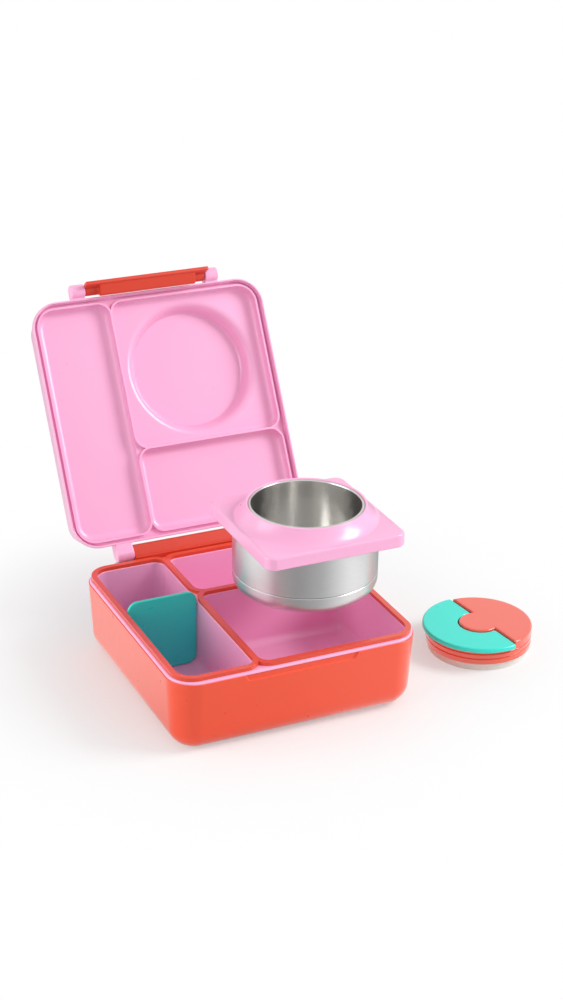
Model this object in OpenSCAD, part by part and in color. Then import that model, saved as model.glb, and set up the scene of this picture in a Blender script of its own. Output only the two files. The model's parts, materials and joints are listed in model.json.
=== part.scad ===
// Hinged bento lunch box with a compartment tray, a lift-out steel food jar,
// a divider, a latch, a carrying handle and a jar lid that lies beside it.
// Origin: centre of the underside, +X along the front edge, +Y to the hinge, +Z up.

/* [Box shell] */
// Outer width of the box
box_w = 190; // [186:1:215]
// Outer depth of the box body
box_d = 190; // [188:1:215]
// Height of the outer shell
shell_h = 56; // [54:0.5:60]
// Plan radius of the four upright corners
corner_r = 21; // [20.8:0.1:24]
// Radius of the bottom edge
bottom_r = 16; // [12:0.5:16]
// How far the sides lean in towards the bottom edge
side_taper = 2.4; // [1:0.1:2.6]
// Wall of the outer shell
shell_t = 2.2; // [2:0.1:2.4]
// Half length of the latch recess in the front face
recess_half = 40.6; // [40:0.1:48]
// Depth of the latch recess
recess_depth = 1.6; // [1.2:0.1:1.7]
// Height of the latch recess
recess_h = 4.8; // [4:0.1:6]

/* [Compartment tray] */
// Width of the rim from the outer face to a compartment
rim_w = 7.2; // [7:0.1:8]
// Step from the outer face to the edge of the rim
rim_step = 0.8; // [0.4:0.1:1]
// Thickness of the rim
rim_t = 1.8; // [1.4:0.1:2.2]
// Wall of the tray
tray_t = 1.5; // [1.2:0.1:1.6]
// Height of the compartment floors above the underside
floor_z = 7.6; // [7.2:0.1:9]
// Thickness of the walls between compartments
mid_wall = 5.2; // [4.8:0.1:6]
// Position of the wall beside the long compartment
wall_x = -30.5; // [-34:0.5:-27]
// Position of the wall behind the square compartment
wall_y = 25.6; // [24.5:0.5:32]
// Plan radius of compartment corners next to the shell corners
pocket_r = 12; // [12:0.2:14]
// Plan radius of compartment corners at the middle walls
inner_r = 7.5; // [7:0.1:9]
// Radius along the compartment floors
pocket_fillet = 7; // [5:0.5:7]
// Radius along the outside of the tray's bottom
tray_fillet = 9; // [8:0.5:9.5]

/* [Seal] */
// Width of the seal bead
seal_w = 4; // [3.6:0.1:4.4]
// Height of the seal bead above the rim
seal_h = 2.8; // [2:0.1:3.2]
// Flat left between the bead and the compartment edge
seal_land = 0.5; // [0.3:0.1:0.8]

/* [Lid] */
// Height of the lid
lid_h = 40; // [38:0.5:46]
// Wall of the lid cover
lid_t = 1.8; // [1.6:0.1:2]
// Wall at the lid's lower edge, where it passes the seal
lid_rim_t = 1.2; // [1:0.1:1.4]
// Upright part of the lid side
lid_lip = 4; // [3:0.5:6]
// How far the lid sides lean in
lid_taper = 5.4; // [4:0.1:6]
// Radius of the lid's top edge
lid_edge_r = 14.5; // [12:0.5:14.5]
// Gap between the closed lid and the rim
lid_gap = 0.4; // [0.3:0.1:0.6]
// Width of the sealing ribs on the liner
rib_w = 1.4; // [1:0.1:2]
// Height of the sealing ribs
rib_h = 3; // [2:0.1:3.4]
// Sheet thickness of the liner
liner_t = 1.6; // [1.2:0.1:2]
// Depth of the liner panels above the rib edge
panel_depth = 9.2; // [8:0.1:10]
// Depth of the round recess above its panel
dome_depth = 12; // [10:0.5:13]
// Radius of the flat floor of the round recess
dome_r = 42; // [40:0.5:44]
// Radius of the mouth of the round recess
dome_mouth_r = 52; // [49:0.5:53]
// Angle of the lid at rest, measured from closed
lid_open = 120; // [100:1:125]

/* [Hinge and handle] */
// Distance of the hinge axis behind the box
hinge_out = 7.4; // [7:0.1:9]
// Height of the hinge axis above the rim
hinge_up = 4.4; // [4:0.1:6]
// Radius of the fixed hinge barrel
barrel_r = 5.6; // [5:0.1:5.8]
// Radius of the barrel of a lid arm
arm_r = 6; // [5.4:0.1:6.2]
// Inner face of a lid arm from the middle
arm_in = 50.5; // [45:0.5:54]
// Width of a lid arm
arm_w = 13.5; // [11:0.5:16]
// Radius of the hinge pin
hinge_pin_r = 2; // [1.6:0.1:2.6]
// Drop from the hinge axis to the handle axis
handle_drop = 11.6; // [11.4:0.1:14]
// Distance of the handle axis behind the box
handle_out = 8.6; // [8:0.1:11]
// Radius of the handle's pivot bosses
handle_boss_r = 4.4; // [3.6:0.1:4.6]
// Radius of the handle pins
handle_pin_r = 1.8; // [1.4:0.1:2.2]
// Length of the handle legs from pivot to grip
handle_len = 35; // [30:1:36]
// Radius of the handle grip
grip_r = 5.4; // [4.5:0.1:6]
// Thickness of the handle legs
leg_t = 5.6; // [4.5:0.1:6.5]

/* [Latch] */
// Inner face of a latch ear from the middle
ear_in = 49.6; // [45:0.2:52]
// Width of a latch ear
ear_w = 10.8; // [9:0.2:13]
// Distance of the latch axis in front of the lid
latch_out = 6; // [5.6:0.1:7.4]
// Height of the latch axis above the rim
latch_up = 1.8; // [1.6:0.1:2.4]
// Radius of the latch ears
ear_r = 5.4; // [4.8:0.1:5.4]
// Length of the latch plate below its axis
latch_len = 12.8; // [12.4:0.1:14]
// Thickness of the latch plate
latch_t = 3; // [2.6:0.1:3.2]
// Half width of the hook block
hook_half = 39.4; // [36:0.2:39.6]
// Radius of the latch pins
latch_pin_r = 1.5; // [1.1:0.1:1.9]
// Radius of the latch knuckles
knuckle_r = 4.2; // [3.6:0.1:4.4]
// Angle of the latch at rest, measured from latched
latch_rest = 8; // [7:1:20]
// Distance of the latch's face in front of its axis
latch_face = 3.1; // [2.8:0.1:3.4]
// How far the latch's lip reaches past the ears' inner faces
lip_side = 1.2; // [0.6:0.1:1.8]
// How far the hook reaches behind the base's front face
hook_reach = 1.15; // [1:0.05:1.2]
// Height of the hook's edge
hook_h = 3; // [2.4:0.1:3.2]

/* [Divider] */
// Thickness of the divider
div_t = 2.4; // [1.8:0.1:3]
// Height of the divider's top above the rim
div_rise = 9.2; // [6:0.2:9.6]
// Radius of the divider's top corners
div_r = 8; // [4:0.5:12]
// Position of the divider along the compartment
div_y = 17; // [-60:1:60]
// Side clearance of the divider
div_gap = 0.4; // [0.3:0.1:0.8]

/* [Food jar] */
// Side of the square collar
collar_w = 107; // [105:0.5:108]
// Thickness of the collar
collar_t = 10; // [7:0.5:12]
// Plan radius of the collar's corners
collar_r = 7.5; // [4:0.5:12]
// Height of the neck above the collar
neck_h = 10.4; // [6:0.2:11]
// Radius of the collar's round hole
hole_r = 41.5; // [39.5:0.1:43]
// Radius of the neck's foot on the collar
neck_foot_r = 51; // [47:0.5:52]
// Radius of the steel body
jar_r = 52.2; // [50:0.1:52.4]
// Height from the jar's bottom to the collar
jar_shoulder = 43; // [40:0.5:46]
// Radius of the jar's bottom edge
jar_bottom_r = 9; // [6:0.5:11]
// Height of the seam above the jar's bottom
jar_seam = 13.6; // [12:0.2:16]
// Thickness of the steel walls
steel_t = 1; // [0.8:0.1:1.2]
// Height of the raised jar above its place in the tray
jar_raise = 76; // [66:1:90]

/* [Jar lid] */
// Place of the jar lid to the right of the middle
cap_x = 177.6; // [165:0.5:200]
// Place of the jar lid in front of the middle
cap_y = -33; // [-60:1:60]
// Turn of the jar lid
cap_turn = 6.5; // [0:0.5:90]
// Height of the jar lid
cap_h = 21.8; // [20:0.2:26]
// Radius of the jar lid's skirt
cap_r = 40; // [38:0.2:42]
// Radius of the sealing ring
ring_r = 37.8; // [35:0.1:38.2]
// Height of the sealing ring
ring_h = 6.2; // [5:0.1:8]
// Radius of the middle disc
disc_r = 15; // [12:0.5:18]
// Offset of the straight edge of the grip from the middle
chord_x = 4.5; // [3:0.1:6]
// Outer radius of the flip grip
grip_ring_r = 42.8; // [41:0.1:45]
// Thickness of the flip grip
grip_t = 3.2; // [2.4:0.1:4]
// Clearance around the flip grip
grip_gap = 0.8; // [0.7:0.1:1]
// Drop of the grip's face below the cap's face
grip_drop = 0.9; // [0.4:0.1:1.5]
// Radius of the grip pins
grip_pin_r = 0.9; // [0.7:0.1:1.1]

/* [Hidden] */
$fn = 96;

fit = 0.05;
seat = 0.02;
clear = 0.3;
hx = box_w / 2;
hy = box_d / 2;
rim_z = shell_h + rim_t;
seal_z = rim_z + seal_h;
lid_z = rim_z + lid_gap;
hinge_y = hy + hinge_out;
hinge_z = rim_z + hinge_up;
handle_y = hy + handle_out;
handle_z = hinge_z - handle_drop;
latch_y = -hy - latch_out;
latch_z = rim_z + latch_up;

// Compartments: x from, x to, y from, y to
comp_a = [-hx + rim_w, wall_x - mid_wall / 2, -hy + rim_w, hy - rim_w];
comp_b = [wall_x + mid_wall / 2, hx - rim_w, wall_y + mid_wall / 2, hy - rim_w];
comp_c = [wall_x + mid_wall / 2, hx - rim_w, -hy + rim_w, wall_y - mid_wall / 2];
// Corner radii, counter-clockwise from the front left corner
rad_a = [pocket_r, inner_r, inner_r, pocket_r];
rad_b = [inner_r, inner_r, pocket_r, inner_r];
rad_c = [inner_r, pocket_r, inner_r, inner_r];
jar_x = (comp_c[0] + comp_c[1]) / 2;
jar_y = (comp_c[2] + comp_c[3]) / 2;

function grow(c, e) = [c[0] - e, c[1] + e, c[2] - e, c[3] + e];
function bigger(r, e) = [r[0] + e, r[1] + e, r[2] + e, r[3] + e];

// One corner's worth of material outside a radius
module corner_cut(x, y, r, sx, sy) {
  translate([x, y]) mirror([sx < 0 ? 1 : 0, 0]) mirror([0, sy < 0 ? 1 : 0])
    difference() {
      translate([-1, -1]) square(r + 1);
      translate([r, r]) circle(r);
    }
}

// Rectangle with its own radius at each corner
module area(c, r) {
  difference() {
    translate([c[0], c[2]]) square([c[1] - c[0], c[3] - c[2]]);
    corner_cut(c[0], c[2], r[0], 1, 1);
    corner_cut(c[1], c[2], r[1], -1, 1);
    corner_cut(c[1], c[3], r[2], -1, -1);
    corner_cut(c[0], c[3], r[3], 1, -1);
  }
}

module slab(c, r, z0, z1) {
  translate([0, 0, z0]) linear_extrude(z1 - z0) area(c, r);
}

// Edge section with a rounded foot: x = 0 is the wall, material towards -x
module edge_section(depth, f, z0, z1) {
  polygon([[-depth, z0], [-f, z0], [0, z0 + f], [0, z1], [-depth, z1]]);
  intersection() {
    translate([-f, z0 + f]) circle(f);
    translate([-depth, z0]) square([depth, f]);
  }
}

// Block with upright corners r and a rounded bottom edge f
module tub(c, r, f, z0, z1) {
  m = max(r);
  turns = [180, 270, 0, 90];
  xs = [c[0] + r[0], c[1] - r[1], c[1] - r[2], c[0] + r[3]];
  ys = [c[2] + r[0], c[2] + r[1], c[3] - r[2], c[3] - r[3]];
  for (i = [0 : 3])
    translate([xs[i], ys[i], 0]) rotate([0, 0, turns[i]])
      rotate_extrude(angle = 90) translate([r[i], 0]) edge_section(r[i], f, z0, z1);
  translate([c[1], c[3] - r[2], 0]) rotate([90, 0, 0])
    linear_extrude(c[3] - c[2] - r[1] - r[2]) edge_section(m, f, z0, z1);
  translate([c[0], c[2] + r[0], 0]) rotate([90, 0, 180])
    linear_extrude(c[3] - c[2] - r[0] - r[3]) edge_section(m, f, z0, z1);
  translate([c[0] + r[3], c[3], 0]) rotate([90, 0, 90])
    linear_extrude(c[1] - c[0] - r[2] - r[3]) edge_section(m, f, z0, z1);
  translate([c[1] - r[1], c[2], 0]) rotate([90, 0, 270])
    linear_extrude(c[1] - c[0] - r[0] - r[1]) edge_section(m, f, z0, z1);
  translate([c[0] + m, c[2] + m, z0])
    cube([c[1] - c[0] - 2 * m, c[3] - c[2] - 2 * m, z1 - z0]);
}

// Sweeps a section, drawn from a corner's centre outwards, around the box
module around(r) {
  for (i = [0 : 3])
    translate([(i == 0 || i == 3 ? 1 : -1) * (hx - r), (i < 2 ? 1 : -1) * (hy - r), 0])
      rotate([0, 0, 90 * i]) rotate_extrude(angle = 90) children();
  translate([hx - r, hy - r, 0]) rotate([90, 0, 0]) linear_extrude(box_d - 2 * r) children();
  translate([r - hx, r - hy, 0]) rotate([90, 0, 180]) linear_extrude(box_d - 2 * r) children();
  translate([r - hx, hy - r, 0]) rotate([90, 0, 90]) linear_extrude(box_w - 2 * r) children();
  translate([hx - r, r - hy, 0]) rotate([90, 0, 270]) linear_extrude(box_w - 2 * r) children();
}

// Shell section: t is the distance inside the outer face
module shell_section(t, z1) {
  cx = corner_r - side_taper - bottom_r;
  f = bottom_r - t;
  polygon([[0, t], [cx, t], [cx + f, bottom_r], [corner_r - t, z1], [0, z1]]);
  intersection() {
    translate([cx, bottom_r]) circle(f);
    translate([0, t]) square([cx + f + 1, 2 * f]);
  }
}

module shell_block(t, z1) {
  around(corner_r) shell_section(t, z1);
  translate([corner_r - hx, corner_r - hy, t])
    cube([box_w - 2 * corner_r, box_d - 2 * corner_r, z1 - t]);
}

module base_shell() {
  color("tomato") difference() {
    shell_block(0, shell_h);
    shell_block(shell_t, shell_h + 1);
    translate([0, -hy + recess_depth, 0]) rotate([90, 0, 0]) linear_extrude(recess_depth + shell_t)
      polygon([[-recess_half, shell_h - recess_h], [recess_half, shell_h - recess_h],
        [recess_half + 3, shell_h + 1], [-recess_half - 3, shell_h + 1]]);
  }
}

module inner_tray() {
  tray_in = rim_w - tray_t;
  outer = [-hx + tray_in, hx - tray_in, -hy + tray_in, hy - tray_in];
  rt = pocket_r + tray_t;
  rim = [-hx + rim_step, hx - rim_step, -hy + rim_step, hy - rim_step];
  rr = corner_r - rim_step;
  color("hotpink") difference() {
    union() {
      slab(rim, [rr, rr, rr, rr], shell_h, rim_z);
      tub(outer, [rt, rt, rt, rt], tray_fillet, floor_z - tray_t, rim_z);
    }
    tub(comp_a, rad_a, pocket_fillet, floor_z, rim_z + 1);
    tub(comp_b, rad_b, pocket_fillet, floor_z, rim_z + 1);
    tub(comp_c, rad_c, pocket_fillet, floor_z, rim_z + 1);
  }
}

// Loops of the seal: e is the distance outside the compartment edges
module loops(e) {
  area(grow(comp_a, e), bigger(rad_a, e));
  area(grow(comp_b, e), bigger(rad_b, e));
  area(grow(comp_c, e), bigger(rad_c, e));
}

// Bead loops of a given inner offset and width, with the notch at the T of the walls open
module bead_plan(e, w) {
  side = comp_a[1] + e;
  difference() {
    loops(e + w);
    loops(e);
    difference() {
      translate([side - 0.1, wall_y - inner_r - e - w])
        square([w + mid_wall, 2 * (inner_r + e + w)]);
      area(grow(comp_b, e + w), bigger(rad_b, e + w));
      area(grow(comp_c, e + w), bigger(rad_c, e + w));
    }
  }
}

module compartment_seal() {
  color("orangered") translate([0, 0, rim_z]) linear_extrude(seal_h)
    bead_plan(seal_land, seal_w);
}

// Rod along X from x0 to x1 at a given place
module rod_x(x0, x1, y, z, r) {
  translate([x0, y, z]) rotate([0, 90, 0]) cylinder(h = x1 - x0, r = r);
}

module block(x0, x1, y0, y1, z0, z1) {
  translate([x0, y0, z0]) cube([x1 - x0, y1 - y0, z1 - z0]);
}

// Side profile, given in Y and Z, extruded along X
module side_plate(x0, x1, pts) {
  translate([x0, 0, 0]) rotate([90, 0, 90]) linear_extrude(x1 - x0) polygon(pts);
}

module hinge_bar() {
  half = arm_in - clear;
  back = hy + seat;
  top = rim_z - seat;
  color("firebrick") difference() {
    union() {
      rod_x(-half, half, hinge_y, hinge_z, barrel_r);
      side_plate(-half, half, [[back, handle_z - handle_boss_r - 2],
        [back + 3, handle_z - handle_boss_r - 2], [back + 3, handle_z + 2],
        [hinge_y + barrel_r - 1, hinge_z - 2], [hinge_y, hinge_z], [back + 1.6, top], [back, top]]);
      for (s = [-1, 1]) {
        rod_x(s > 0 ? half - 8 : -half, s > 0 ? half : 8 - half, handle_y, handle_z, handle_boss_r);
        block(s > 0 ? half - 8 : -half, s > 0 ? half : 8 - half, back + 1, handle_y,
          handle_z - handle_boss_r, handle_z + handle_boss_r);
      }
    }
    rod_x(-half - 1, half + 1, hinge_y, hinge_z, hinge_pin_r + seat);
    for (s = [-1, 1])
      rod_x(s > 0 ? half - 9 : -half - 1, s > 0 ? half + 1 : 9 - half, handle_y, handle_z,
        handle_pin_r + seat);
  }
}

module hinge_pin() {
  color("silver") rod_x(-arm_in - arm_w + 1, arm_in + arm_w - 1, hinge_y, hinge_z, hinge_pin_r);
}

module handle_pins() {
  color("silver") for (s = [-1, 1])
    rod_x(s > 0 ? arm_in - 7 : 1 - arm_in - arm_w, s > 0 ? arm_in + arm_w - 1 : 7 - arm_in,
      handle_y, handle_z, handle_pin_r);
}

module carry_handle() {
  leg_y = handle_y - handle_boss_r;
  color("turquoise") difference() {
    union() {
      for (s = [-1, 1]) {
        x0 = s > 0 ? arm_in : -arm_in - arm_w;
        rod_x(x0, x0 + arm_w, handle_y, handle_z, handle_boss_r);
        block(x0, x0 + arm_w, leg_y, leg_y + leg_t, handle_z - handle_len, handle_z);
      }
      rod_x(-arm_in - arm_w, arm_in + arm_w, leg_y + leg_t / 2, handle_z - handle_len, grip_r);
    }
    for (s = [-1, 1])
      rod_x(s > 0 ? arm_in - 1 : 1 - arm_in - arm_w - fit, s > 0 ? arm_in + arm_w - 1 + fit : 1 - arm_in,
        handle_y, handle_z, handle_pin_r + fit);
  }
}

module divider_plate() {
  x0 = comp_a[0] + div_gap;
  x1 = comp_a[1] - div_gap;
  foot = pocket_fillet + 0.5;
  color("mediumturquoise") translate([0, div_y + div_t / 2, 0]) rotate([90, 0, 0])
    linear_extrude(div_t) area([x0, x1, floor_z + clear, rim_z + div_rise],
      [foot, foot, div_r, div_r]);
}

// Places the jar's own frame: its bottom centre above the square compartment
module at_jar() {
  translate([jar_x, jar_y, floor_z + jar_raise]) children();
}

module jar_collar() {
  h = collar_w / 2;
  top = jar_shoulder + collar_t;
  color("pink") at_jar() difference() {
    union() {
      slab([-h, h, -h, h], [collar_r, collar_r, collar_r, collar_r], jar_shoulder, top);
      rotate_extrude() difference() {
        translate([0, top - 1]) square([neck_foot_r, neck_h + 1]);
        translate([hole_r + 2 + neck_h, top + neck_h]) circle(neck_h);
        translate([hole_r + 2 + neck_h, top]) square([neck_foot_r, neck_h + 1]);
      }
    }
    cylinder(h = top + neck_h + 1, r = hole_r);
  }
}

module jar_outer_wall() {
  neck_top = jar_shoulder + collar_t + neck_h - 1.4;
  neck = hole_r - 0.2;
  color("silver") at_jar() rotate_extrude() {
    translate([jar_r - steel_t, jar_seam + 0.2])
      square([steel_t, jar_shoulder - 0.1 - jar_seam - 0.2]);
    translate([neck - steel_t, jar_shoulder - 0.1 - steel_t])
      square([jar_r - neck + steel_t, steel_t]);
    translate([neck - steel_t, jar_shoulder - 0.1 - steel_t])
      square([steel_t, neck_top - jar_shoulder + 0.1 + steel_t]);
  }
}

// Half section of a round dish with a rounded foot
module dish_section(r, f, z0, z1) {
  translate([r, 0]) edge_section(r, f, z0, z1);
}

module jar_base_cap() {
  color("silver") at_jar() rotate_extrude() difference() {
    dish_section(jar_r, jar_bottom_r, 0, jar_seam);
    dish_section(jar_r - steel_t, jar_bottom_r - steel_t, steel_t, jar_seam + 1);
  }
}

module jar_inner_bowl() {
  r = hole_r - 0.2 - steel_t - 0.3;
  lip = jar_shoulder + collar_t + neck_h - 1.3;
  foot = steel_t + 3;
  color("gainsboro") at_jar() rotate_extrude() difference() {
    union() {
      dish_section(r, 12, foot, lip + 0.9);
      translate([0, lip]) square([hole_r - 0.2, 0.9]);
    }
    dish_section(r - steel_t, 12 - steel_t, foot + steel_t, lip + 2);
  }
}

// Places the jar lid's own frame on the table
module at_cap() {
  translate([cap_x, cap_y, 0]) rotate([0, 0, cap_turn]) children();
}

grip_top = cap_h - grip_drop;
pivot_x = chord_x - grip_gap / 2 - 2;
pivot_z = grip_top - grip_t / 2;

module jar_lid_cap() {
  floor_cut = grip_top - grip_t - 0.8;
  color("coral") at_cap() difference() {
    rotate_extrude() difference() {
      union() {
        translate([0, ring_h + 0.1]) square([cap_r, cap_h - ring_h - 0.1]);
        translate([0, 1]) square([ring_r - 4.9, ring_h]);
      }
      translate([cap_r - 0.8, ring_h + 4]) square([2, 1.2]);
      translate([cap_r - 0.8, ring_h + 8]) square([2, 1.2]);
      translate([-1, 0]) square([ring_r - 8, ring_h + 4]);
    }
    translate([0, 0, floor_cut]) linear_extrude(cap_h) difference() {
      translate([-60, -60]) square([60 + chord_x, 120]);
      circle(disc_r);
    }
    translate([pivot_x, disc_r + 9, pivot_z]) rotate([90, 0, 0])
      cylinder(h = 2 * disc_r + 18, r = grip_pin_r + seat);
  }
}

module jar_lid_ring() {
  color("linen") at_cap() rotate_extrude()
    translate([ring_r - 4.8, 0]) square([4.8, ring_h]);
}

module jar_lid_grip() {
  color("aquamarine") at_cap() difference() {
    translate([0, 0, grip_top - grip_t]) linear_extrude(grip_t) difference() {
      circle(grip_ring_r);
      circle(disc_r + grip_gap);
      translate([chord_x - grip_gap, -60]) square([60, 120]);
    }
    translate([pivot_x, disc_r + 9 + fit, pivot_z]) rotate([90, 0, 0])
      cylinder(h = 2 * disc_r + 18 + 2 * fit, r = grip_pin_r + fit);
  }
}

module grip_pins() {
  color("silver") at_cap() for (s = [0, 180])
    translate([pivot_x, 0, pivot_z]) rotate([0, 0, s]) translate([0, disc_r + 9, 0])
      rotate([90, 0, 0]) cylinder(h = 13, r = grip_pin_r);
}

// Turns what is drawn closed into the open rest position
module opened() {
  translate([0, hinge_y, hinge_z]) rotate([-lid_open, 0, 0])
    translate([0, -hinge_y, -hinge_z]) children();
}

// Lid section: t is the distance inside the outer face
module lid_section(t, z0) {
  cx = corner_r - lid_taper - lid_edge_r;
  f = lid_edge_r - t;
  cz = lid_z + lid_h - lid_edge_r;
  polygon([[0, z0], [corner_r - t, z0], [corner_r - t, lid_z + lid_lip], [cx + f, cz],
    [cx, cz + f], [0, cz + f]]);
  intersection() {
    translate([cx, cz]) circle(f);
    translate([0, cz - f]) square([f + cx + 1, 2 * f]);
  }
}

module lid_block(t, z0) {
  around(corner_r) lid_section(t, z0);
  translate([corner_r - hx, corner_r - hy, z0])
    cube([box_w - 2 * corner_r, box_d - 2 * corner_r, lid_z + lid_h - t - z0]);
}

module lid_cover() {
  color("pink") opened() difference() {
    union() {
      lid_block(0, lid_z);
      for (s = [-1, 1]) {
        ax = s > 0 ? arm_in : -arm_in - arm_w;
        rod_x(ax, ax + arm_w, hinge_y, hinge_z, arm_r);
        block(ax, ax + arm_w, hy - lid_t - 1, hinge_y, lid_z, hinge_z + arm_r);
        ex = s > 0 ? ear_in : -ear_in - ear_w;
        rod_x(ex, ex + ear_w, latch_y, latch_z, ear_r);
        block(ex, ex + ear_w, latch_y, -hy + lid_t + 1, lid_z, latch_z + ear_r);
      }
    }
    lid_block(lid_t, lid_z - 1);
    slab([-hx + lid_rim_t, hx - lid_rim_t, -hy + lid_rim_t, hy - lid_rim_t],
      [for (i = [0 : 3]) corner_r - lid_rim_t], lid_z - 1, lid_z + lid_lip - 1);
    rod_x(-arm_in - arm_w + 1 - fit, arm_in + arm_w - 1 + fit, hinge_y, hinge_z, hinge_pin_r + fit);
    for (s = [-1, 1])
      rod_x(s > 0 ? ear_in - 1 : 2 - ear_in - ear_w, s > 0 ? ear_in + ear_w - 2 : 1 - ear_in,
        latch_y, latch_z, latch_pin_r + seat);
  }
}

liner_z = seal_z + clear;
panel_z = liner_z + panel_depth;
dome_z = panel_z + dome_depth;
rib_in = seal_land + seal_w / 2 - rib_w / 2;

// Round recess above the square panel
module dome() {
  translate([jar_x, jar_y, 0]) rotate_extrude()
    polygon([[0, panel_z - 2], [dome_mouth_r - 1, panel_z - 2], [dome_mouth_r - 1, panel_z + 0.2],
      [dome_mouth_r - 5, panel_z + 3], [dome_r + 3, dome_z - 3], [dome_r, dome_z], [0, dome_z]]);
}

module lid_liner() {
  edge = lid_t + 1;
  flange = [-hx + edge, hx - edge, -hy + edge, hy - edge];
  rf = corner_r - edge;
  shelf_z = liner_z + rib_h;
  e = rib_in + 0.2;
  block_r = pocket_r + e + 1;
  color("lightpink") opened() difference() {
    union() {
      slab(flange, [rf, rf, rf, rf], shelf_z, shelf_z + liner_t);
      translate([0, 0, liner_z]) linear_extrude(rib_h + 0.5) bead_plan(rib_in, rib_w);
      slab(grow([-hx + rim_w, hx - rim_w, -hy + rim_w, hy - rim_w], e),
        [block_r, block_r, block_r, block_r], shelf_z, panel_z + liner_t);
      translate([jar_x, jar_y, panel_z]) cylinder(h = dome_depth + liner_t, r = dome_mouth_r + liner_t);
    }
    translate([0, 0, shelf_z - 1]) linear_extrude(panel_z - shelf_z + 1) loops(e - liner_t);
    dome();
  }
}

// Turns what is drawn latched into the latch's rest position on the open lid
module latch_frame() {
  opened() translate([0, latch_y, latch_z]) rotate([-latch_rest, 0, 0])
    translate([0, -latch_y, -latch_z]) children();
}

module latch_plate() {
  half = ear_in - clear;
  lip_half = ear_in + lip_side;
  face = latch_y - latch_face;
  low = latch_z - latch_len;
  tip = -hy + hook_reach;
  hook_z = shell_h - clear;
  color("red") latch_frame() difference() {
    union() {
      block(-half, half, face, face + latch_t, low, latch_z);
      block(-lip_half, lip_half, face, face + latch_t, low, latch_z - ear_r - 2 * clear);
      side_plate(-hook_half, hook_half, [[face + latch_t - 0.2, low + 1.2], [tip, hook_z - hook_h],
        [tip, hook_z], [-hy - 0.6, hook_z], [-hy - 0.6, latch_z - 1],
        [face + latch_t - 0.2, latch_z - 1]]);
      rod_x(-half, half, latch_y, latch_z, knuckle_r);
    }
    rod_x(-half - 1, half + 1, latch_y, latch_z, latch_pin_r + fit);
  }
}

module latch_pins() {
  color("silver") opened() for (s = [-1, 1])
    rod_x(s > 0 ? hook_half - 6 : 2 + seat - ear_in - ear_w,
      s > 0 ? ear_in + ear_w - 2 - seat : 6 - hook_half, latch_y, latch_z, latch_pin_r);
}

base_shell();
inner_tray();
compartment_seal();
hinge_bar();
hinge_pin();
handle_pins();
carry_handle();
divider_plate();
jar_collar();
jar_outer_wall();
jar_base_cap();
jar_inner_bowl();
jar_lid_cap();
jar_lid_ring();
jar_lid_grip();
grip_pins();
lid_cover();
lid_liner();
latch_plate();
latch_pins();
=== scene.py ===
import json
import math

import bmesh
import bpy
from mathutils import Euler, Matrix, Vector


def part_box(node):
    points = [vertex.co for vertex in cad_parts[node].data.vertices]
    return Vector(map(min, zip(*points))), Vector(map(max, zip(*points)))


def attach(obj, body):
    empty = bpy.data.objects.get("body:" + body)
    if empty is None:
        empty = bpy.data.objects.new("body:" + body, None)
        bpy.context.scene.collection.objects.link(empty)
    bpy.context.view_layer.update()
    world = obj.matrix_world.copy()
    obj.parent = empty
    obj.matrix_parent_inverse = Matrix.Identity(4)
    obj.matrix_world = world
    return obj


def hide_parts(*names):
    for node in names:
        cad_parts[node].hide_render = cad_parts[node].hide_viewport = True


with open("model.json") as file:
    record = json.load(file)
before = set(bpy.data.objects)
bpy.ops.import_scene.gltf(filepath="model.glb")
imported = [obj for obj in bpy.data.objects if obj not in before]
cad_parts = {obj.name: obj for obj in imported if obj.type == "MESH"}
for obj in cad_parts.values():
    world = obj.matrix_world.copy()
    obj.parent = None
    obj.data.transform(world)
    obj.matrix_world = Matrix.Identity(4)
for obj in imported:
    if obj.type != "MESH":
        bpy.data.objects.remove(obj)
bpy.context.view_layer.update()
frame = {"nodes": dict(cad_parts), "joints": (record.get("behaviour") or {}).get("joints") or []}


# ---------------------------------------------------------------------------
# Camera, floor and light
# A table-top view from the front left, a little above, on a plain pale table in
# a white room, with a broad lamp at the right and a weaker one at the left.
# ---------------------------------------------------------------------------
view_yaw = -0.441
view_pitch = 0.432
view_roll = 0.018
bpy.ops.object.camera_add(location=(-0.54701, -1.21358, 0.75468))
camera = bpy.context.object
turn = Euler((0, 0, view_yaw)).to_matrix() @ Euler((math.pi / 2 - view_pitch, 0, 0)).to_matrix()
camera.rotation_euler = (turn @ Euler((0, 0, view_roll)).to_matrix()).to_euler()
camera.data.sensor_width = 36
camera.data.lens = 73.93
camera.data.clip_end = 50
bpy.context.scene.camera = camera
bpy.context.scene.view_settings.view_transform = "Standard"


def new_material(name):
    """An empty node material with its output, ready for one shader."""
    material = bpy.data.materials.new(name)
    material.use_nodes = True
    material.node_tree.nodes.clear()
    return material


def node(tree, kind, **settings):
    """One shader node with its settings and unlinked inputs."""
    made = tree.nodes.new(kind)
    for key, value in settings.items():
        if key in made.inputs:
            made.inputs[key].default_value = value
        else:
            setattr(made, key, value)
    return made


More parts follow.
